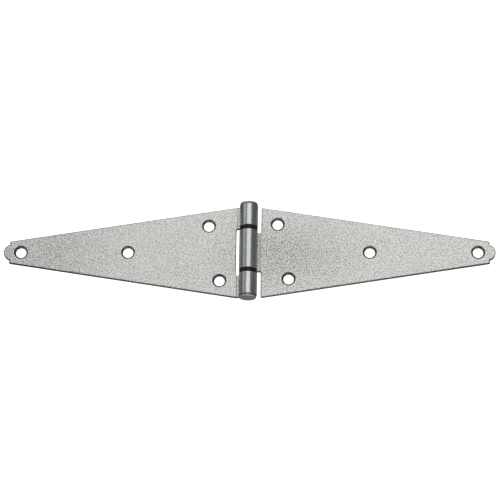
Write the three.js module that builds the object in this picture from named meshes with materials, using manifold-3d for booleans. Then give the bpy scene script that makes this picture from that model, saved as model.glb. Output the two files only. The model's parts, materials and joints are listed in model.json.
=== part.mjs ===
// Heavy strap hinge, lying open flat on its back.
//
// Millimetres. +X runs along the right strap, +Y along the pin and +Z out of the mounting plane.
// The origin is under the middle of the pin, on the plane that the backs of both straps lie in.

import * as THREE from "three";
import { mergeVertices } from "three/addons/utils/BufferGeometryUtils.js";
import Module from "manifold-3d";

// Straps: two tapered plates of the same outline, the left one turned half round.
const SHEET = 2.4;
const STRAP_REACH = 152.4; // pin axis to the tip
const ROOT_X = 7.7; // pin axis to the plate's straight root edge
const ROOT_HALF_WIDTH = 29.6;
const ROOT_CORNER_RADIUS = 0.8;
const TAB_FILLET_RADIUS = 1;

// Tip: two square shoulders with a round nose between them, and a slight notch at each foot of the nose.
const SHOULDER_X = 149;
const SHOULDER_HALF_WIDTH = 7.05;
const SHOULDER_CORNER_RADIUS = 0.4;
const NOTCH_X = 148.4;
const NOTCH_RADIUS = 0.6;
const NOSE_RADIUS = 5.2;
const NOSE_STEPS = 6; // from the nose's end to one shoulder

// Screw holes, with a small chamfer on the front, at [x, y] on the right strap.
const HOLE_RADIUS = 3.25;
const HOLE_CHAMFER = 1.05;
const HOLE_FACETS = 32;
const HOLES = [
  [17.8, 18.5],
  [24.9, -17.3],
  [74.9, 0],
  [141.6, 0],
];

// Barrel: each knuckle is its strap's own sheet, rolled round the pin.
const BORE_RADIUS = 3.3;
const BARREL_RADIUS = BORE_RADIUS + SHEET;
const PIN_Z = BARREL_RADIUS; // the barrel's back is tangent to the mounting plane
const ROLL_START = -90; // degrees about the pin, where the flat sheet turns into the roll
const ROLL_SWEEP = -300;
const ROLL_STEP = 7.5;
const ROLL_OVERLAP = 4; // flat run that the roll shares with the plate

// Lengths along the pin, from its middle outwards.
const MIDDLE_KNUCKLE_HALF = 12.6;
const WASHER_THICKNESS = 2.4;
const END_PLAY = 0.15; // free space on each side of a washer and under each pin head
const OUTER_KNUCKLE_START = MIDDLE_KNUCKLE_HALF + WASHER_THICKNESS + 2 * END_PLAY;
const OUTER_KNUCKLE_END = ROOT_HALF_WIDTH;

// Pin with a formed head on each end, and the two spacer washers on it.
const PIN_RADIUS = 3.2;
const HEAD_RADIUS = 5.4;
const HEAD_THICKNESS = 1.45;
const HEAD_ROUND = 0.95;
const HEAD_CROWN = 0.1; // how far the middle of a head's face stands proud
const HEAD_STEPS = 4;
const WASHER_BORE_RADIUS = 3.4;
const WASHER_RADIUS = 5.6;
const ROUND_FACETS = 48;

const FILLET_STEP = 30; // degrees of turn in one facet of a rounded corner

const galvanised = new THREE.MeshStandardMaterial({ color: 0xc1c3bd, roughness: 0.45, metalness: 0.9 });
const zincPlated = new THREE.MeshStandardMaterial({ color: 0xa9a9a2, roughness: 0.25, metalness: 1 });
const blackNylon = new THREE.MeshStandardMaterial({ color: 0x141414, roughness: 0.5, metalness: 0 });

const wasm = await Module();
wasm.setup();

const radians = THREE.MathUtils.degToRad;

function solidFrom(geometry) {
  const bare = geometry.clone();
  bare.deleteAttribute("normal");
  bare.deleteAttribute("uv");
  const welded = mergeVertices(bare);
  return new wasm.Manifold(
    new wasm.Mesh({
      numProp: 3,
      vertProperties: welded.attributes.position.array,
      triVerts: Uint32Array.from(welded.index.array),
    }),
  );
}

function geometryFrom(solid) {
  const mesh = solid.getMesh();
  const geometry = new THREE.BufferGeometry();
  geometry.setAttribute("position", new THREE.BufferAttribute(mesh.vertProperties, 3));
  geometry.setIndex(new THREE.BufferAttribute(mesh.triVerts, 1));
  geometry.computeVertexNormals();
  return geometry;
}

function arc(centreX, centreY, radius, fromDegrees, sweepDegrees, steps) {
  return Array.from({ length: steps + 1 }, (_, i) => {
    const angle = radians(fromDegrees + (sweepDegrees * i) / steps);
    return new THREE.Vector2(centreX + radius * Math.cos(angle), centreY + radius * Math.sin(angle));
  });
}

// Replaces one corner of an outline with an arc that is tangent to both of its edges.
function roundedCorner(before, corner, after) {
  const point = new THREE.Vector2(corner.x, corner.y);
  if (!corner.radius) return [point];
  const toBefore = new THREE.Vector2(before.x, before.y).sub(point).normalize();
  const toAfter = new THREE.Vector2(after.x, after.y).sub(point).normalize();
  const halfAngle = Math.acos(toBefore.dot(toAfter)) / 2;
  const middle = toBefore.clone().add(toAfter).normalize();
  const centre = point.clone().addScaledVector(middle, corner.radius / Math.sin(halfAngle));
  const tangentLength = corner.radius / Math.tan(halfAngle);
  const first = point.clone().addScaledVector(toBefore, tangentLength).sub(centre);
  const turn = Math.sign(-toBefore.cross(toAfter)) * (180 - THREE.MathUtils.radToDeg(2 * halfAngle));
  const steps = Math.max(1, Math.ceil(Math.abs(turn) / FILLET_STEP));
  const start = THREE.MathUtils.radToDeg(first.angle());
  return arc(centre.x, centre.y, corner.radius, start, turn, steps);
}

function roundedOutline(corners) {
  const count = corners.length;
  return corners.flatMap((corner, i) =>
    roundedCorner(corners[(i + count - 1) % count], corner, corners[(i + 1) % count]),
  );
}

// One strap's outline seen from the front. It is the same on both sides of its centre line,
// so only the +Y half is laid out, from the tip to the root.
function strapOutline(rootCorners) {
  const noseCentre = STRAP_REACH - NOSE_RADIUS;
  const noseAngle = THREE.MathUtils.radToDeg(Math.acos((NOTCH_X - noseCentre) / NOSE_RADIUS));
  const [tip, ...nose] = arc(noseCentre, 0, NOSE_RADIUS, 0, noseAngle, NOSE_STEPS);
  const noseFoot = nose.pop();
  const side = [
    ...nose,
    { x: noseFoot.x, y: noseFoot.y, radius: NOTCH_RADIUS },
    { x: SHOULDER_X, y: SHOULDER_HALF_WIDTH, radius: SHOULDER_CORNER_RADIUS },
    ...rootCorners,
  ];
  const mirrored = side.map(({ x, y, radius }) => ({ x, y: -y, radius })).reverse();
  return roundedOutline([tip, ...side, ...mirrored]);
}

// The sheet's rolled end, as a section across the pin: round the far side, over the top
// and back down to just above the plate's own front face.
function knuckle(low, high) {
  const steps = Math.abs(ROLL_SWEEP) / ROLL_STEP;
  const outside = arc(0, PIN_Z, BARREL_RADIUS, ROLL_START, ROLL_SWEEP, steps);
  const inside = arc(0, PIN_Z, BORE_RADIUS, ROLL_START, ROLL_SWEEP, steps).reverse();
  const run = [new THREE.Vector2(ROLL_OVERLAP, SHEET), new THREE.Vector2(ROLL_OVERLAP, 0)];
  const section = new THREE.Shape([...outside, ...inside, ...run]);
  const roll = new THREE.ExtrudeGeometry(section, { depth: high - low, bevelEnabled: false });
  roll.rotateX(Math.PI / 2);
  roll.translate(0, high, 0);
  return solidFrom(roll);
}

function screwHole([x, y]) {
  const past = 1; // the cutter runs past both faces
  const rim = HOLE_RADIUS + HOLE_CHAMFER;
  const profile = [
    new THREE.Vector2(0, -past),
    new THREE.Vector2(HOLE_RADIUS, -past),
    new THREE.Vector2(HOLE_RADIUS, SHEET - HOLE_CHAMFER),
    new THREE.Vector2(rim, SHEET),
    new THREE.Vector2(rim, SHEET + past),
    new THREE.Vector2(0, SHEET + past),
  ];
  const cutter = new THREE.LatheGeometry(profile, HOLE_FACETS);
  cutter.rotateX(Math.PI / 2);
  cutter.translate(x, y, 0);
  return solidFrom(cutter);
}

function strap(name, rootCorners, knuckleSpans) {
  const outline = new THREE.Shape(strapOutline(rootCorners));
  const plate = new THREE.ExtrudeGeometry(outline, { depth: SHEET, bevelEnabled: false });
  let solid = solidFrom(plate);
  for (const [low, high] of knuckleSpans) solid = solid.add(knuckle(low, high));
  for (const hole of HOLES) solid = solid.subtract(screwHole(hole));
  const mesh = new THREE.Mesh(geometryFrom(solid), galvanised.clone());
  mesh.name = name;
  return mesh;
}

// The left strap is a fork: its two outer knuckles leave room for the middle one.
function leftStrap() {
  const root = [
    { x: ROOT_X, y: ROOT_HALF_WIDTH },
    { x: 0, y: ROOT_HALF_WIDTH },
    { x: 0, y: OUTER_KNUCKLE_START },
    { x: ROOT_X, y: OUTER_KNUCKLE_START, radius: TAB_FILLET_RADIUS },
  ];
  const spans = [
    [OUTER_KNUCKLE_START, OUTER_KNUCKLE_END],
    [-OUTER_KNUCKLE_END, -OUTER_KNUCKLE_START],
  ];
  const mesh = strap("strap_left", root, spans);
  mesh.rotation.z = Math.PI;
  return mesh;
}

// The right strap carries the middle knuckle on one tab.
function rightStrap() {
  const root = [
    { x: ROOT_X, y: ROOT_HALF_WIDTH, radius: ROOT_CORNER_RADIUS },
    { x: ROOT_X, y: MIDDLE_KNUCKLE_HALF, radius: TAB_FILLET_RADIUS },
    { x: 0, y: MIDDLE_KNUCKLE_HALF },
  ];
  return strap("strap_right", root, [[-MIDDLE_KNUCKLE_HALF, MIDDLE_KNUCKLE_HALF]]);
}

function hingePin() {
  const headStart = OUTER_KNUCKLE_END + END_PLAY;
  const headEnd = headStart + HEAD_THICKNESS;
  const rim = arc(HEAD_RADIUS - HEAD_ROUND, headEnd - HEAD_ROUND, HEAD_ROUND, 0, 90, HEAD_STEPS);
  const upper = [
    new THREE.Vector2(PIN_RADIUS, headStart),
    new THREE.Vector2(HEAD_RADIUS, headStart),
    ...rim,
    new THREE.Vector2(0, headEnd + HEAD_CROWN),
  ];
  const lower = upper.map(({ x, y }) => new THREE.Vector2(x, -y)).reverse();
  const mesh = new THREE.Mesh(new THREE.LatheGeometry([...lower, ...upper], ROUND_FACETS), zincPlated);
  mesh.name = "hinge_pin";
  mesh.position.z = PIN_Z;
  return mesh;
}

function washer(name, side) {
  const half = WASHER_THICKNESS / 2;
  const profile = [
    new THREE.Vector2(WASHER_BORE_RADIUS, -half),
    new THREE.Vector2(WASHER_RADIUS, -half),
    new THREE.Vector2(WASHER_RADIUS, half),
    new THREE.Vector2(WASHER_BORE_RADIUS, half),
    new THREE.Vector2(WASHER_BORE_RADIUS, -half),
  ];
  const mesh = new THREE.Mesh(new THREE.LatheGeometry(profile, ROUND_FACETS), blackNylon.clone());
  mesh.name = name;
  mesh.position.set(0, side * (MIDDLE_KNUCKLE_HALF + END_PLAY + half), PIN_Z);
  return mesh;
}

const group = new THREE.Group();
group.add(leftStrap(), rightStrap(), hingePin(), washer("upper_washer", 1), washer("lower_washer", -1));

export default group;
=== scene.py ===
# Heavy strap hinge: the finished look of the CAD model, and the small studio that it is shown in.
#
# Everything is in metres in the CAD frame: +X along the right strap, +Y along the pin and +Z out of the
# mounting plane. Sizes that the frame doesn't give are named below, as multiples of MM.

import json
import math

import bmesh
import bpy
from mathutils import Matrix, Vector, noise


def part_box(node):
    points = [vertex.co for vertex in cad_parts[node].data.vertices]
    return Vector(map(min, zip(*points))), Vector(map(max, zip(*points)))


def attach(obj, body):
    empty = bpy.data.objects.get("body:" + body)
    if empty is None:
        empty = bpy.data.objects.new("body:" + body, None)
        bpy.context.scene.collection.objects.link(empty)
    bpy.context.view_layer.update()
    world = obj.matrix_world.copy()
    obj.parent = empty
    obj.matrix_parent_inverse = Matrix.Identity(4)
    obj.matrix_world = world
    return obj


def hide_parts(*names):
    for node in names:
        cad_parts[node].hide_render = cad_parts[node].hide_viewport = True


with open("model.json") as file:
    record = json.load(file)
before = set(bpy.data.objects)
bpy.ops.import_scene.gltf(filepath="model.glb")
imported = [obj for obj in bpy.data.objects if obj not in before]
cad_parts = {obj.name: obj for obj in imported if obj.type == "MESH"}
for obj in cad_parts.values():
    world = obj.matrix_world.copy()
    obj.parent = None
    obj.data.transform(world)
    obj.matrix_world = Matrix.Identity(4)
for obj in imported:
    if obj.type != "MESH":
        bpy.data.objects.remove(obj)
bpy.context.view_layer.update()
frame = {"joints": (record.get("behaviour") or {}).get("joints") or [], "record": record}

MM = 0.001

# ---------------------------------------------------------------------------------------------------
# Sizes taken from the frame
# ---------------------------------------------------------------------------------------------------

record = frame["record"]
mounts = {mount["name"]: mount for mount in record["mounts"]}
joints = {joint["name"]: joint for joint in frame["joints"]}

SHEET = mounts["right_strap_front"]["pos_m"][2] - mounts["right_strap_back"]["pos_m"][2]
PIN_Z = joints["strap_swing"]["pos_m"][2]
STRAP_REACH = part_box("strap_right")[1].x
ROOT_HALF_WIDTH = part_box("strap_right")[1].y
BARREL_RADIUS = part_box("strap_right")[1].z - PIN_Z
END_PLAY = 0.15 * MM  # free space on each side of a washer and under each pin head
MIDDLE_KNUCKLE_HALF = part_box("upper_washer")[0].y - END_PLAY
OUTER_KNUCKLE_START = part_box("upper_washer")[1].y + END_PLAY
OUTER_KNUCKLE_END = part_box("strap_left")[1].y

# ---------------------------------------------------------------------------------------------------
# Sizes of the detail
# ---------------------------------------------------------------------------------------------------

# Strap outline
ROOT_X = 7.7 * MM
ROOT_CORNER_RADIUS = 0.8 * MM
TAB_FILLET_RADIUS = 1.0 * MM
TAB_SHOULDER_RADIUS = 2.0 * MM  # where the taper runs into an outer tab
TAB_END_RADIUS = 0.7 * MM
SHOULDER_X = 149.0 * MM
SHOULDER_HALF_WIDTH = 7.05 * MM
SHOULDER_CORNER_RADIUS = 0.7 * MM
NOTCH_X = 148.4 * MM
NOTCH_RADIUS = 0.35 * MM
NOSE_RADIUS = 5.2 * MM
NOSE_STEPS = 16
CORNER_STEP = 12  # degrees of turn in one facet of a rounded corner

# Blanked edge of the sheet, from its drawn-in front to its slightly broken back
DIE_ROLL_WIDTH = 0.6 * MM  # less than the radius of every outward corner
DIE_ROLL_DEPTH = 0.34 * MM  # the painted shade on it fades out at twice this depth
BREAK_OUT = 0.05 * MM  # how far the broken part of the wall is set in
BREAK_HEIGHT = 0.9 * MM
BACK_ROUND = 0.18 * MM
OUTLINE_SHADE = 0.75  # how much painted shade darkens the strap's drawn-in outline, beside 1 for the walls of its holes
NOSE_SHADE = 0.6  # how much deeper than that the painted shade is round the nose
NOSE_SHADE_RUN_IN = 1.0 * MM
EDGE_SHADE_FADE = 0.04 * MM  # how far in from each flat face the painted shade on an edge reaches its full strength
ROUND_STEPS = 4

# Screw holes
HOLE_RADIUS = 3.25 * MM
HOLE_CHAMFER = 1.15 * MM
HOLE_RIM_ROUND = 0.1 * MM
EASED_ALONG = 0.4  # the middle point of an eased corner, in parts of that round: along one side of it
EASED_OFF = 0.15  # and off that side
EASED_END = 1.2  # where the corner under the chamfer runs out into the wall
HOLE_FACETS = 64
HOLE_MARGIN = 1.01  # points within this many rim radii of a hole's middle belong to the hole

# Rolled knuckles, and the line that the rolling tool leaves across each tab
ROLL_SWEEP = math.radians(300)
ROLL_STRIPS = 80
ROLL_LENGTH = ROLL_SWEEP * BARREL_RADIUS
CREASE_X = 7.1 * MM
CREASE_HALF_WIDTH = 0.17 * MM
CREASE_DEPTH = 0.12 * MM
CREASE_STRIP = 0.05 * MM
BURNISH_START = 1.5 * MM  # the smoother finish of the roll comes in between these two places
BURNISH_FULL = -2.0 * MM

# Pin
PIN_RADIUS = 3.2 * MM
HEAD_ROUND = 0.95 * MM
HEAD_CROWN = 0.1 * MM
HEAD_DENT = 0.14 * MM  # how unevenly the heads were formed
HEAD_DENT_SIZE = 1.2 * MM
HEAD_DENT_START = 0.3 * MM  # above the underside of a head
HEAD_CHAMFER = 0.2 * MM  # chamfer between a head's underside and its side
HEAD_RIM_STEPS = 8
HEAD_FACE_RINGS = 8
SEAM_SHADE_REACH = 0.9 * MM  # how far the painted shade where a head meets its knuckle reaches up the head
LATHE_FACETS = 96

# Washers
WASHER_BORE_RADIUS = 3.4 * MM
WASHER_CORNER = 0.3 * MM
WASHER_BULGE = 0.12 * MM
WASHER_BULGE_STEPS = 3  # from the middle of the rim to each corner
WASHER_CORNER_STEPS = 5

SHARP_ANGLE = math.radians(35)

# Finishes. Each colour is linear, and each dull patch is its middle and its reach along each axis.
SPECKLE_SIZE = 0.38 * MM
CLOUD_SIZE = 14 * MM
ZINC_DARK = (0.08, 0.084, 0.08)
ZINC_MIDDLE = (0.55, 0.562, 0.528)
ZINC_BRIGHT = (0.97, 0.975, 0.93)
PIN_DARK = (0.30, 0.30, 0.285)
PIN_BRIGHT = (0.98, 0.98, 0.94)
NYLON_DARK = (0.006, 0.006, 0.007)
NYLON_SCUFFED = (0.03, 0.029, 0.029)
DULL_BY_BARREL = (Vector((22, -2, 0)) * MM, Vector((58, 32, 58)) * MM)
DULL_BY_LEFT_TIP = (Vector((-130, 0, 0)) * MM, Vector((60, 60, 60)) * MM)

# Studio
CAMERA_DISTANCE = 1.5
CAMERA_LENS = 174.5
CAMERA_AIM = Vector((0.86, 1.46, 2.4)) * MM
CAMERA_TILT = math.radians(20.0)  # from straight above, towards -Y
CAMERA_SIDE = math.radians(2.6)  # from straight above, towards +X
FLOOR_GAP = 18 * MM  # below the tip of a strap that has swung down as far as it goes
FLOOR_SIZE = 60.0
LAMP_DISTANCE = 2.5
BACKDROP = (1.0, 1.0, 1.0)
SURROUNDINGS = (0.102, 0.11, 0.118)


# ---------------------------------------------------------------------------------------------------
# Camera and studio
# ---------------------------------------------------------------------------------------------------


def make_camera():
    """A long lens above the hinge, leaning a little towards the viewer, with the straps level in view."""
    back = Vector(
        (
            math.sin(CAMERA_SIDE),
            -math.sin(CAMERA_TILT) * math.cos(CAMERA_SIDE),
            math.cos(CAMERA_TILT) * math.cos(CAMERA_SIDE),
        )
    )
    right = (Vector((1, 0, 0)) - back.x * back).normalized()
    up = back.cross(right)
    data = bpy.data.cameras.new("camera")
    data.lens = CAMERA_LENS
    camera = bpy.data.objects.new("camera", data)
    camera.matrix_world = Matrix.Translation(CAMERA_AIM + CAMERA_DISTANCE * back) @ Matrix(
        (right, up, back)
    ).transposed().to_4x4()
    bpy.context.scene.collection.objects.link(camera)
    bpy.context.scene.camera = camera


def make_softbox(name, direction, width, length, radiance):
    """A rectangular lamp that faces the hinge. Its length lies along Y as far as its direction allows."""
    data = bpy.data.lights.new(name, "AREA")
    data.shape = "RECTANGLE"
    data.size = width
    data.size_y = length
    data.energy = radiance * math.pi * width * length
    lamp = bpy.data.objects.new(name, data)
    away = Vector(direction).normalized()
    across = Vector((0, 1, 0)).cross(away).normalized()
    along = away.cross(across)
    turn = Matrix((across, along, away)).transposed().to_4x4()
    lamp.matrix_world = Matrix.Translation(LAMP_DISTANCE * away) @ turn
    lamp.visible_camera = False
    bpy.context.scene.collection.objects.link(lamp)


def make_world():
    """Dim surroundings for the metal to reflect, behind the pale backdrop that the camera sees."""
    world = bpy.data.worlds.new("studio")
    bpy.context.scene.world = world
    world.use_nodes = True
    nodes = world.node_tree.nodes
    links = world.node_tree.links
    surroundings = nodes["Background"]
    surroundings.inputs["Color"].default_value = (*SURROUNDINGS, 1)
    backdrop = nodes.new("ShaderNodeBackground")
    backdrop.inputs["Color"].default_value = (*BACKDROP, 1)
    seen = nodes.new("ShaderNodeLightPath")
    mix = nodes.new("ShaderNodeMixShader")
    links.new(seen.outputs["Is Camera Ray"], mix.inputs["Fac"])
    links.new(surroundings.outputs["Background"], mix.inputs[1])
    links.new(backdrop.outputs["Background"], mix.inputs[2])
    links.new(mix.outputs["Shader"], nodes["World Output"].inputs["Surface"])


def make_floor():
    """A pale light table, far enough below for a strap to hang down over it."""
    mesh = bpy.data.meshes.new("floor")
    height = PIN_Z - STRAP_REACH - FLOOR_GAP
    half = FLOOR_SIZE / 2
    corners = [(-half, -half, height), (half, -half, height), (half, half, height), (-half, half, height)]
    mesh.from_pydata(corners, [], [(0, 1, 2, 3)])
    floor = bpy.data.objects.new("floor", mesh)
    bpy.context.scene.collection.objects.link(floor)
    floor.visible_glossy = False
    return floor


# ---------------------------------------------------------------------------------------------------
# Materials
# ---------------------------------------------------------------------------------------------------


class Surface:
    """A Principled material, with short calls that add the nodes of its pattern."""

    def __init__(self, name, uniform):
        self.material = bpy.data.materials.new(name)
        self.material.use_nodes = True
        self.tree = self.material.node_tree
        self.shader = self.tree.nodes["Principled BSDF"]
        for socket, value in uniform.items():
            self.shader.inputs[socket].default_value = value
        self.position = self.tree.nodes.new("ShaderNodeTexCoord").outputs["Object"]

    def node(self, kind, inputs, **settings):
        """Adds a node. An input is another node's output, or the value to hold."""
        node = self.tree.nodes.new(kind)
        for name, value in settings.items():
            setattr(node, name, value)
        for socket, value in inputs.items():
            if isinstance(value, bpy.types.NodeSocket):
                self.tree.links.new(value, node.inputs[socket])
            else:
                node.inputs[socket].default_value = value
        return node

    def attribute(self, name):
        return self.node("ShaderNodeAttribute", {}, attribute_name=name).outputs["Fac"]

    def stretched(self, scale, offset=(0, 0, 0)):
        """The position, moved by offset and scaled along each axis."""
        return self.node(
            "ShaderNodeMapping", {"Vector": self.position, "Location": offset, "Scale": scale}
        ).outputs["Vector"]

    def noise(self, size, detail=2.0, roughness=0.5, vector=None):
        """Noise between 0 and 1, whose blobs are about size across."""
        inputs = {
            "Vector": self.position if vector is None else vector,
            "Scale": 0.5 / size,
            "Detail": detail,
            "Roughness": roughness,
        }
        return self.node("ShaderNodeTexNoise", inputs).outputs["Fac"]

    def spots(self, spacing, radius, share):
        """1 in the middle of scattered round spots, on that share of a jittered grid, and 0 off them."""
        cells = self.node("ShaderNodeTexVoronoi", {"Vector": self.position, "Scale": 1 / spacing})
        near = self.remap(cells.outputs["Distance"], radius / spacing, 0.3 * radius / spacing, 0, 1)
        chosen = self.math("LESS_THAN", self.red(cells.outputs["Color"]), share)
        return self.math("MULTIPLY", near, chosen)

    def patch(self, centre, reach):
        """1 at a place on the object, fading to 0 over an ellipsoid of that reach along each axis."""
        scale = Vector([1 / r for r in reach])
        offset = self.stretched(scale, offset=-centre * scale)
        distance = self.node("ShaderNodeVectorMath", {0: offset}, operation="LENGTH").outputs["Value"]
        return self.remap(distance, 1, 0, 0, 1)

    def red(self, colour):
        return self.node("ShaderNodeSeparateColor", {"Color": colour}).outputs["Red"]

    def centred(self, value):
        """Noise shifted to lie evenly about 0."""
        return self.math("SUBTRACT", value, 0.5)

    def math(self, operation, a, b=0.0):
        return self.node("ShaderNodeMath", {0: a, 1: b}, operation=operation).outputs["Value"]

    def total(self, base, *terms):
        """base plus each (value, weight) term."""
        for value, weight in terms:
            base = self.node(
                "ShaderNodeMath", {0: value, 1: weight, 2: base}, operation="MULTIPLY_ADD"
            ).outputs["Value"]
        return base

    def remap(self, value, low, high, to_low, to_high):
        inputs = {"Value": value, "From Min": low, "From Max": high, "To Min": to_low, "To Max": to_high}
        return self.node("ShaderNodeMapRange", inputs, interpolation_type="SMOOTHSTEP").outputs["Result"]

    def colour(self, value, stops):
        """A colour ramp of (position, colour) stops, driven by value."""
        node = self.node("ShaderNodeValToRGB", {"Fac": value})
        ramp = node.color_ramp
        while len(ramp.elements) < len(stops):
            ramp.elements.new(0.5)
        for element, (position, colour) in zip(ramp.elements, stops):
            element.position = position
            element.color = (*colour, 1)
        return node.outputs["Color"]

    def bump(self, height, distance, normal=None):
        inputs = {"Height": height, "Distance": distance}
        if normal is not None:
            inputs["Normal"] = normal
        return self.node("ShaderNodeBump", inputs).outputs["Normal"]

    def set(self, socket, value):
        self.tree.links.new(value, self.shader.inputs[socket])


def zinc_sheet():
    """Zinc-plated blanked sheet: speckled satin flats, burnished knuckles, and rougher sheared edges with
    painted shade on them, as on the screw holes' chamfers and walls.
    """
    zinc = Surface("zinc_sheet", {"Metallic": 1.0})
    roll = zinc.attribute("roll")
    edge = zinc.attribute("edge")
    flat = zinc.math("SUBTRACT", 1.0, roll)
    speckle = zinc.centred(zinc.noise(SPECKLE_SIZE, detail=1))
    clouds = zinc.centred(zinc.noise(CLOUD_SIZE, detail=1))
    drawn = zinc.centred(zinc.noise(0.8 * MM, detail=3, vector=zinc.stretched((1, 0.05, 1))))
    pits = zinc.spots(1.0 * MM, 0.3 * MM, 0.35)
    dull_tip = zinc.math("MULTIPLY", zinc.patch(*DULL_BY_LEFT_TIP), 0.7)
    dull = zinc.math("ADD", zinc.patch(*DULL_BY_BARREL), dull_tip)
    coarse = zinc.total(0.95, (dull, 0.35), (roll, -0.75))
    shade = zinc.total(
        0.71,
        (zinc.math("MULTIPLY", speckle, coarse), 1.7),
        (zinc.math("MULTIPLY", pits, coarse), -0.5),
        (clouds, 0.25),
        (zinc.math("MULTIPLY", dull, flat), -0.13),
        (zinc.math("MULTIPLY", drawn, roll), 0.5),
        # painted shade on the blanked outline and on the screw holes' chamfers and walls, carried by the
        # edge attribute
        (edge, -0.54),
        (roll, -0.03),
    )
    zinc.set("Base Color", zinc.colour(shade, [(0.0, ZINC_DARK), (0.5, ZINC_MIDDLE), (1.0, ZINC_BRIGHT)]))
    zinc.set("Roughness", zinc.total(0.40, (clouds, 0.14), (dull, 0.04), (edge, 0.06), (roll, -0.16)))
    even = zinc.bump(zinc.math("MULTIPLY", speckle, flat), 0.020 * MM)
    zinc.set("Normal", zinc.bump(zinc.math("MULTIPLY", drawn, roll), 0.04 * MM, normal=even))
    return zinc.material


def zinc_pin():
    """The pin's brighter plating, with the marks of the tool that formed its heads, and painted shade
    where each head meets its knuckle.
    """
    zinc = Surface("zinc_pin", {"Metallic": 0.93})
    hammered = zinc.noise(0.7 * MM, detail=3, roughness=0.6)
    fine = zinc.noise(0.2 * MM)
    seam_shade = zinc.attribute("seam_shade")
    # painted shade along the join of each head and its knuckle
    shade = zinc.total(0.6, (zinc.centred(hammered), 0.9), (fine, 0.1), (seam_shade, -0.6))
    zinc.set("Base Color", zinc.colour(shade, [(0.0, PIN_DARK), (1.0, PIN_BRIGHT)]))
    zinc.set("Roughness", zinc.total(0.30, (hammered, 0.2)))
    zinc.set("Normal", zinc.bump(hammered, 0.05 * MM))
    return zinc.material


def black_nylon():
    """Moulded black nylon with a faint gloss and a few paler scuffs."""
    nylon = Surface("black_nylon", {"Metallic": 0.0, "Specular IOR Level": 0.35})
    scuffs = nylon.noise(0.5 * MM, detail=4, roughness=0.7, vector=nylon.stretched((0.3, 1, 0.3)))
    nylon.set("Base Color", nylon.colour(scuffs, [(0.45, NYLON_DARK), (0.8, NYLON_SCUFFED)]))
    nylon.set("Roughness", nylon.total(0.34, (scuffs, 0.2)))
    nylon.set("Normal", nylon.bump(scuffs, 0.015 * MM))
    return nylon.material


def pale_table():
    """The lit floor: nearly white, with the faintest unevenness."""
    table = Surface(
        "pale_table", {"Roughness": 0.9, "Specular IOR Level": 0.0, "Emission Strength": 0.92}
    )
    table.shader.inputs["Emission Color"].default_value = (1, 1, 1, 1)
    uneven = table.noise(30 * MM, detail=4)
    table.set("Base Color", table.colour(uneven, [(0.3, (0.80, 0.80, 0.795)), (0.7, (0.84, 0.84, 0.835))]))
    return table.material


# ---------------------------------------------------------------------------------------------------
# Outlines, as closed lists of points (u, v) on the unrolled sheet: u along the strap, v along the pin
# ---------------------------------------------------------------------------------------------------


def arc(centre, radius, start, sweep, steps):
    """Points along an arc. The angles are in degrees."""
    angles = [math.radians(start + sweep * i / steps) for i in range(steps + 1)]
    return [centre + radius * Vector((math.cos(a), math.sin(a))) for a in angles]


def rounded_corner(before, corner, after, radius):
    """The arc of that radius which touches both edges of a corner."""
    to_before = (before - corner).normalized()
    to_after = (after - corner).normalized()
    half_angle = to_before.angle(to_after) / 2
    centre = corner + (to_before + to_after).normalized() * radius / math.sin(half_angle)
    first = corner + to_before * radius / math.tan(half_angle) - centre
    turn = math.copysign(180 - math.degrees(2 * half_angle), -to_before.cross(to_after))
    steps = max(2, math.ceil(abs(turn) / CORNER_STEP))
    return arc(centre, radius, math.degrees(math.atan2(first.y, first.x)), turn, steps)


def rounded_outline(corners):
    """corners are (u, v, radius). A corner of no radius stays a single point."""
    points = [Vector(corner[:2]) for corner in corners]
    outline = []
    for i, (u, v, radius) in enumerate(corners):
        if radius:
            outline += rounded_corner(points[i - 1], points[i], points[(i + 1) % len(points)], radius)
        else:
            outline.append(points[i])
    return outline


def strap_outline(root_corners):
    """The whole outline anticlockwise from the tip, for a root whose +v half has these corners."""
    nose_centre = STRAP_REACH - NOSE_RADIUS
    nose_angle = math.degrees(math.acos((NOTCH_X - nose_centre) / NOSE_RADIUS))
    tip, *nose, foot = arc(Vector((nose_centre, 0)), NOSE_RADIUS, 0, nose_angle, NOSE_STEPS)
    side = [(*point, 0) for point in nose]
    side.append((*foot, NOTCH_RADIUS))
    side.append((SHOULDER_X, SHOULDER_HALF_WIDTH, SHOULDER_CORNER_RADIUS))
    side += root_corners
    mirrored = [(u, -v, radius) for u, v, radius in reversed(side)]
    return rounded_outline([(*tip, 0), *side, *mirrored])


def fork_root():
    """The left strap's root: two outer tabs with room between them for the middle knuckle."""
    return [
        (ROOT_X, ROOT_HALF_WIDTH, TAB_SHOULDER_RADIUS),
        (-ROLL_LENGTH, ROOT_HALF_WIDTH, TAB_END_RADIUS),
        (-ROLL_LENGTH, OUTER_KNUCKLE_START, TAB_END_RADIUS),
        (ROOT_X, OUTER_KNUCKLE_START, TAB_FILLET_RADIUS),
    ]


def tongue_root():
    """The right strap's root: one middle tab."""
    return [
        (ROOT_X, ROOT_HALF_WIDTH, ROOT_CORNER_RADIUS),
        (ROOT_X, MIDDLE_KNUCKLE_HALF, TAB_FILLET_RADIUS),
        (-ROLL_LENGTH, MIDDLE_KNUCKLE_HALF, TAB_END_RADIUS),
    ]


# ---------------------------------------------------------------------------------------------------
# Straps
# ---------------------------------------------------------------------------------------------------


def quarter_round(width, depth):
    """(setback, drop) from a flat face, round a quarter ellipse, to the wall beside it."""
    turns = [math.pi / 2 * i / ROUND_STEPS for i in range(ROUND_STEPS + 1)]
    return [(width * (1 - math.sin(a)), depth * (1 - math.cos(a))) for a in turns]


def blanked_edge():
    """The sheet's edge as (setback, height), from the front face to the back."""
    front = [(setback, SHEET - drop) for setback, drop in quarter_round(DIE_ROLL_WIDTH, DIE_ROLL_DEPTH)]
    wall = [(0, BREAK_HEIGHT + BREAK_OUT), (BREAK_OUT, BREAK_HEIGHT)]
    back = [(BREAK_OUT + setback, drop) for setback, drop in quarter_round(BACK_ROUND, BACK_ROUND)]
    return front + wall + back[::-1]


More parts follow.
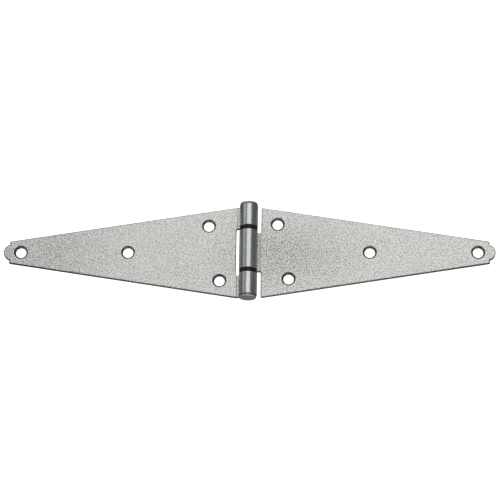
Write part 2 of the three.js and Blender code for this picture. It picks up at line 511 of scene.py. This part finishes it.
def hole_edge():
    """A screw hole's wall as (radius, height), from the front face to the back."""
    rim = HOLE_RADIUS + HOLE_CHAMFER
    shoulder = SHEET - HOLE_CHAMFER
    soft = HOLE_RIM_ROUND
    back = [(HOLE_RADIUS + setback, drop) for setback, drop in quarter_round(BACK_ROUND, BACK_ROUND)]
    return [
        (rim, SHEET),
        (rim - EASED_ALONG * soft, SHEET - EASED_OFF * soft),
        (rim - soft, SHEET - soft),
        (HOLE_RADIUS + soft, shoulder + soft),
        (HOLE_RADIUS + EASED_OFF * soft, shoulder - EASED_ALONG * soft),
        (HOLE_RADIUS, shoulder - EASED_END * soft),
    ] + back[::-1]


def set_back(outline, distance):
    """The outline moved inwards by distance, with its corners mitred."""
    moved = []
    for i, point in enumerate(outline):
        before = (point - outline[i - 1]).normalized()
        after = (outline[(i + 1) % len(outline)] - point).normalized()
        normals = [Vector((-edge.y, edge.x)) for edge in (before, after)]
        moved.append(point + distance * (normals[0] + normals[1]) / (1 + normals[0].dot(normals[1])))
    return moved


def add_wall(bm, rings):
    """Joins closed rings of points with quads, and returns the first and the last ring's edges."""
    made = [[bm.verts.new(point) for point in ring] for ring in rings]
    count = len(made[0])
    for upper, lower in zip(made, made[1:]):
        for i in range(count):
            j = (i + 1) % count
            bm.faces.new((upper[i], lower[i], lower[j], upper[j]))
    ends = (made[0], made[-1])
    return [[bm.edges.get((ring[i], ring[(i + 1) % count])) for i in range(count)] for ring in ends]


def flat_blank(outline, holes):
    """The strap as it leaves the blanking press: flat, with its screw holes."""
    bm = bmesh.new()
    levels = [(set_back(outline, setback), height) for setback, height in blanked_edge()]
    walls = [levels]
    for hole in holes:
        walls.append(
            [(arc(hole, radius, 0, 360, HOLE_FACETS)[:-1], height) for radius, height in hole_edge()]
        )
    edges = [add_wall(bm, [[(*p, height) for p in ring] for ring, height in wall]) for wall in walls]
    for side, normal in ((0, (0, 0, 1)), (1, (0, 0, -1))):
        rim = [edge for wall in edges for edge in wall[side]]
        bmesh.ops.triangle_fill(bm, edges=rim, use_beauty=True, normal=normal)
    return bm


def cut_across(bm, places):
    """Splits every face along lines of constant u, so that the sheet can bend there."""
    for u in places:
        geometry = bm.verts[:] + bm.edges[:] + bm.faces[:]
        bmesh.ops.bisect_plane(bm, geom=geometry, dist=1e-7, plane_co=(u, 0, 0), plane_no=(1, 0, 0))


def roll_point(point):
    """Where a point of the flat sheet goes when its end is rolled up round the pin."""
    u, v, height = point
    if u >= 0:
        return point
    angle = -math.pi / 2 + u / BARREL_RADIUS
    radius = BARREL_RADIUS - height
    return Vector((radius * math.cos(angle), v, PIN_Z + radius * math.sin(angle)))


def smoothstep(low, high, value):
    t = min(1.0, max(0.0, (value - low) / (high - low)))
    return t * t * (3 - 2 * t)


def on_a_hole(u, v, holes):
    """Whether a point of the flat sheet belongs to the chamfer or the wall of a screw hole."""
    reach = HOLE_MARGIN * (HOLE_RADIUS + HOLE_CHAMFER)
    return any((Vector((u, v)) - hole).length < reach for hole in holes)


def form(bm, holes):
    """Presses in the creases, rolls the knuckles, and marks how rolled each point is and how much painted
    shade it takes at the sheet's edges.
    """
    roll = bm.verts.layers.float.new("roll")
    edge = bm.verts.layers.float.new("edge")
    for vert in bm.verts:
        u, v, height = vert.co
        vert[roll] = smoothstep(BURNISH_START, BURNISH_FULL, u)
        # edge attribute: painted shade on every wall, fading in from each flat face
        vert[edge] = smoothstep(0, EDGE_SHADE_FADE, min(height, SHEET - height))
        if not on_a_hole(u, v, holes):
            # away from the holes the painted shade stays on the drawn-in outline and is deeper round the
            # nose
            painted_shade = OUTLINE_SHADE + NOSE_SHADE * smoothstep(NOTCH_X - NOSE_SHADE_RUN_IN, NOTCH_X, u)
            vert[edge] *= painted_shade * smoothstep(2 * DIE_ROLL_DEPTH, DIE_ROLL_DEPTH, SHEET - height)
        across = (u - CREASE_X) / CREASE_HALF_WIDTH
        vert.co.z -= CREASE_DEPTH * math.exp(-across * across) * height / SHEET
        vert.co = roll_point(vert.co)


def soften(bm):
    """Faces that look outwards, with smooth shading except across sharp edges."""
    bmesh.ops.recalc_face_normals(bm, faces=bm.faces[:])
    if bm.calc_volume(signed=True) < 0:
        bmesh.ops.reverse_faces(bm, faces=bm.faces[:])
    for face in bm.faces:
        face.smooth = True
    for edge in bm.edges:
        edge.smooth = edge.calc_face_angle(0) < SHARP_ANGLE


def finished(bm, name, node, body, material):
    """Makes the piece that stands for a CAD node, and fixes it to that node's body."""
    soften(bm)
    mesh = bpy.data.meshes.new(name)
    bm.to_mesh(mesh)
    bm.free()
    mesh.materials.append(material)
    piece = bpy.data.objects.new(name, mesh)
    bpy.context.scene.collection.objects.link(piece)
    even = piece.modifiers.new("even_normals", "WEIGHTED_NORMAL")
    even.keep_sharp = True
    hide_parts(node)
    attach(piece, body)
    return piece


def hole_centres(side):
    """The middles of one strap's screw holes, from the openings that the record states."""
    centres = []
    for opening in record["physics"]["openings"]:
        if opening["name"].startswith(side):
            low, high = (Vector(corner) for corner in opening["box_m"])
            centres.append(((low + high) / 2).xy)
    return centres


def make_strap(side, root_corners, turn, material):
    """turn is +1 for the right strap, and -1 for the left one, whose blank is turned half round."""
    holes = [turn * centre for centre in hole_centres(side)]
    bm = flat_blank(strap_outline(root_corners), holes)
    crease_span = math.ceil(3 * CREASE_HALF_WIDTH / CREASE_STRIP)
    creases = [CREASE_X + i * CREASE_STRIP for i in range(-crease_span, crease_span + 1)]
    rolls = [-ROLL_LENGTH * i / ROLL_STRIPS for i in range(ROLL_STRIPS)]
    cut_across(bm, creases + rolls)
    form(bm, holes)
    if turn < 0:
        bm.transform(Matrix.Rotation(math.pi, 4, "Z"))
    return finished(bm, f"{side}_strap", f"strap_{side}", f"{side}_leaf", material)


# ---------------------------------------------------------------------------------------------------
# Turned pieces, about the pin's axis
# ---------------------------------------------------------------------------------------------------


def turned(profile, closed, place=Vector((0, 0, PIN_Z))):
    """A lathe form from (radius, y) points. An open profile starts and ends on the axis."""
    bm = bmesh.new()
    rings = []
    for radius, y in profile:
        if radius == 0:
            rings.append([bm.verts.new(place + Vector((0, y, 0)))] * LATHE_FACETS)
            continue
        angles = [2 * math.pi * i / LATHE_FACETS for i in range(LATHE_FACETS)]
        rings.append(
            [bm.verts.new(place + Vector((radius * math.sin(a), y, radius * math.cos(a)))) for a in angles]
        )
    pairs = list(zip(rings, rings[1:] + rings[:1])) if closed else list(zip(rings, rings[1:]))
    for ring, following in pairs:
        for i in range(LATHE_FACETS):
            j = (i + 1) % LATHE_FACETS
            corners = dict.fromkeys((ring[i], ring[j], following[j], following[i]))
            bm.faces.new(list(corners))
    return bm


def make_pin(material):
    """A round pin with a formed head on each end, uneven from the blows that closed it."""
    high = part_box("hinge_pin")[1]
    head_radius = high.x
    head_start = OUTER_KNUCKLE_END + END_PLAY
    rim_end = high.y - HEAD_CROWN
    rim_middle = Vector((head_radius - HEAD_ROUND, rim_end - HEAD_ROUND))
    under = [
        (PIN_RADIUS, head_start),
        (head_radius - HEAD_CHAMFER, head_start),
        (head_radius, head_start + HEAD_CHAMFER),
    ]
    rim = [tuple(point) for point in arc(rim_middle, HEAD_ROUND, 0, 90, HEAD_RIM_STEPS)]
    face_radius = rim[-1][0]
    inwards = [1 - i / HEAD_FACE_RINGS for i in range(1, HEAD_FACE_RINGS + 1)]
    face = [(face_radius * part, high.y - HEAD_CROWN * part**2) for part in inwards]
    upper = under + rim + face
    lower = [(radius, -y) for radius, y in reversed(upper)]
    bm = turned(lower + upper, closed=False)
    seam_shade = bm.verts.layers.float.new("seam_shade")
    for vert in bm.verts:
        # painted shade: 1 where a head meets its knuckle, fading out up the head
        vert[seam_shade] = smoothstep(head_start + SEAM_SHADE_REACH, head_start, abs(vert.co.y))
        beyond = smoothstep(head_start + HEAD_DENT_START, rim_end, abs(vert.co.y))
        dent = 0.5 + 0.5 * noise.noise(vert.co / HEAD_DENT_SIZE)
        vert.co.y -= math.copysign(HEAD_DENT * beyond * dent, vert.co.y)
    return finished(bm, "headed_pin", "hinge_pin", "left_leaf", material)


def make_washer(name, node, body, material):
    """A moulded ring with rounded corners, whose rim bulges slightly."""
    low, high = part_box(node)
    middle = (low.y + high.y) / 2
    half = (high.y - low.y) / 2
    rim = high.x
    steps = WASHER_BULGE_STEPS
    parts = [t / steps for t in range(-steps, steps + 1)]
    bulge = [(rim - WASHER_BULGE * part**2, middle + part * (half - WASHER_CORNER)) for part in parts]
    corner_middle = Vector((rim - WASHER_BULGE - WASHER_CORNER, middle + half - WASHER_CORNER))
    corner = [tuple(point) for point in arc(corner_middle, WASHER_CORNER, 0, 90, WASHER_CORNER_STEPS)[1:]]
    mirrored = [(radius, 2 * middle - y) for radius, y in reversed(corner)]
    bore = [
        (WASHER_BORE_RADIUS + WASHER_CORNER / 2, middle + half),
        (WASHER_BORE_RADIUS, middle + half - WASHER_CORNER / 2),
        (WASHER_BORE_RADIUS, middle - half + WASHER_CORNER / 2),
        (WASHER_BORE_RADIUS + WASHER_CORNER / 2, middle - half),
    ]
    bm = turned(mirrored + bulge + corner + bore, closed=True)
    return finished(bm, name, node, body, material)


# ---------------------------------------------------------------------------------------------------
# The scene
# ---------------------------------------------------------------------------------------------------

make_camera()
make_world()
make_floor().data.materials.append(pale_table())
make_softbox("key", (0.10, 0.42, 1.0), width=2.2, length=3.6, radiance=0.87)
make_softbox("fill", (-1.25, 0.5, 1.0), width=1.3, length=3.0, radiance=0.29)
make_softbox("back_left", (-0.7, 0.8, 0.45), width=1.6, length=1.2, radiance=0.65)
make_softbox("back_right", (0.6, 0.95, 0.45), width=1.6, length=1.2, radiance=0.65)
make_softbox("front_left", (-0.8, -0.75, 0.35), width=1.6, length=1.4, radiance=0.7)
make_softbox("front_right", (0.8, -0.75, 0.35), width=1.6, length=1.4, radiance=0.7)
make_softbox("front_low", (0.2, -1.0, 0.0), width=2.6, length=0.7, radiance=1.1)

bpy.context.scene.view_settings.view_transform = "Standard"

sheet = zinc_sheet()
make_strap("left", fork_root(), -1, sheet)
make_strap("right", tongue_root(), 1, sheet)
make_pin(zinc_pin())
nylon = black_nylon()
make_washer("upper_spacer_washer", "upper_washer", "upper_spacer", nylon)
make_washer("lower_spacer_washer", "lower_washer", "lower_spacer", nylon)
